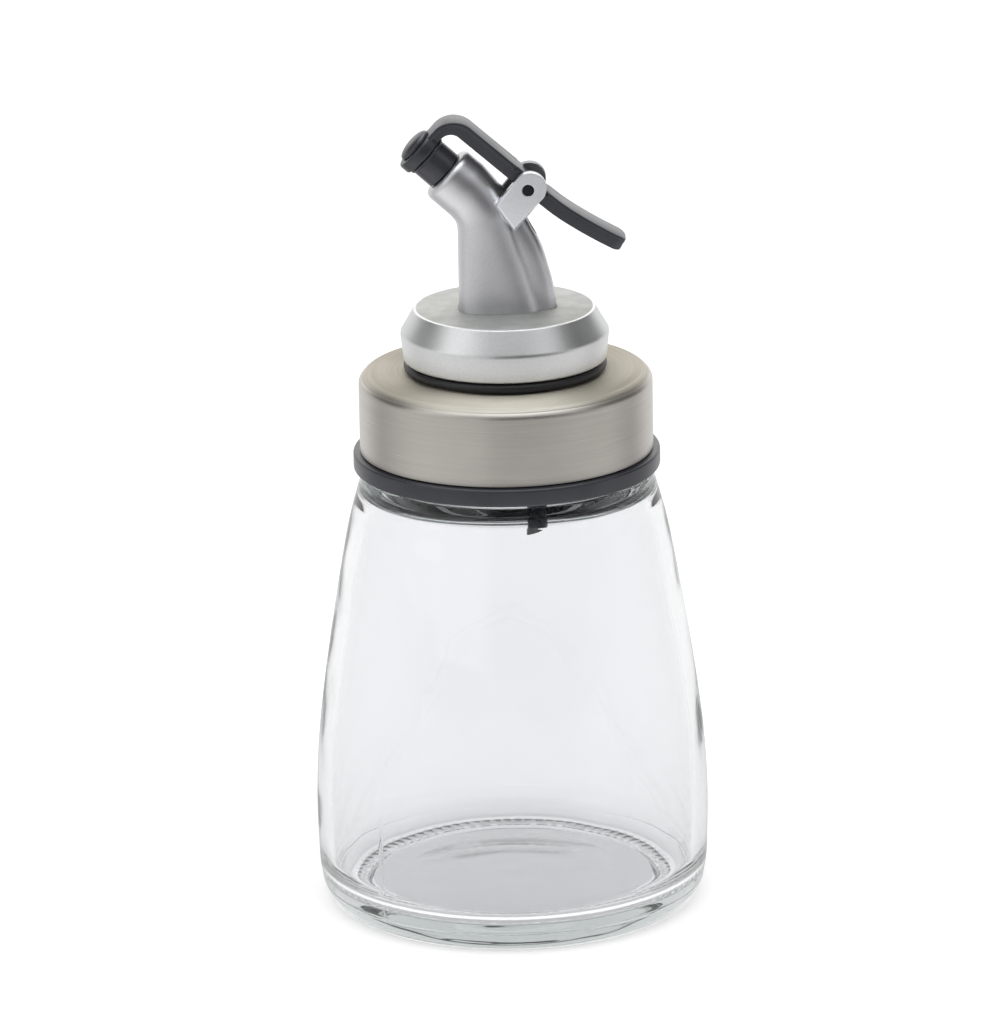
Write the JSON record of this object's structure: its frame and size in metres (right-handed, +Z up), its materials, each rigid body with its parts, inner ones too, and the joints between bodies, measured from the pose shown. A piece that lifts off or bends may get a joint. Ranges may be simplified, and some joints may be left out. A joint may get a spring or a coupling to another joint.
{
  "type": "oil bottle with lever pourer",
  "caption": "Tapered clear glass oil bottle with a brushed steel screw cap and a silver pouring spout closed by a black stopper on a thumb lever",
  "frame": {"origin": "centre of the base on the bottle's axis, at the height of the surface it stands on", "axes": "+Z up along the bottle's axis, spout towards -X, thumb lever towards +X, lever pin along Y"},
  "size_m": [0.076, 0.076, 0.155],
  "materials": {
    "clear_glass": "clear pressed glass",
    "brushed_steel": "brushed round the cap",
    "black_plastic": "moulded, slightly glossy",
    "black_rubber": "smooth",
    "satin_silver": "satin silver coat on a plastic moulding"
  },
  "bodies": {
    "glass": {"glass_bottle": "clear_glass"},
    "seal": {"neck_gasket": "black_rubber"},
    "cap": {"cap_liner": "black_plastic", "cap_shell": "brushed_steel", "pourer_gasket": "black_rubber", "collar": "satin_silver", "spout_body": "satin_silver", "stem_nut": "black_plastic", "air_tube": "black_plastic", "lever_pin": "black_plastic"},
    "stopper_lever": {"lever": "black_plastic", "stopper_plug": "black_rubber"}
  },
  "joints": [
    {"name": "cap_lift", "type": "slide", "parent": "glass", "child": "seal", "axis": [0, 0, 1], "range_m": [0, 0.008]},
    {"name": "cap_turn", "type": "hinge", "parent": "seal", "child": "cap", "pos_m": [0, 0, 0.1], "axis": [0, 0, 1], "range_deg": [0, 720]},
    {"name": "lever_hinge", "type": "hinge", "parent": "cap", "child": "stopper_lever", "pos_m": [0.00487, 0, 0.14195], "axis": [0, 1, 0], "range_deg": [0, 28]}
  ],
  "couplings": [
    {"joint": "cap_lift", "follows": "cap_turn", "m_per_rad": 0.00063662}
  ]
}
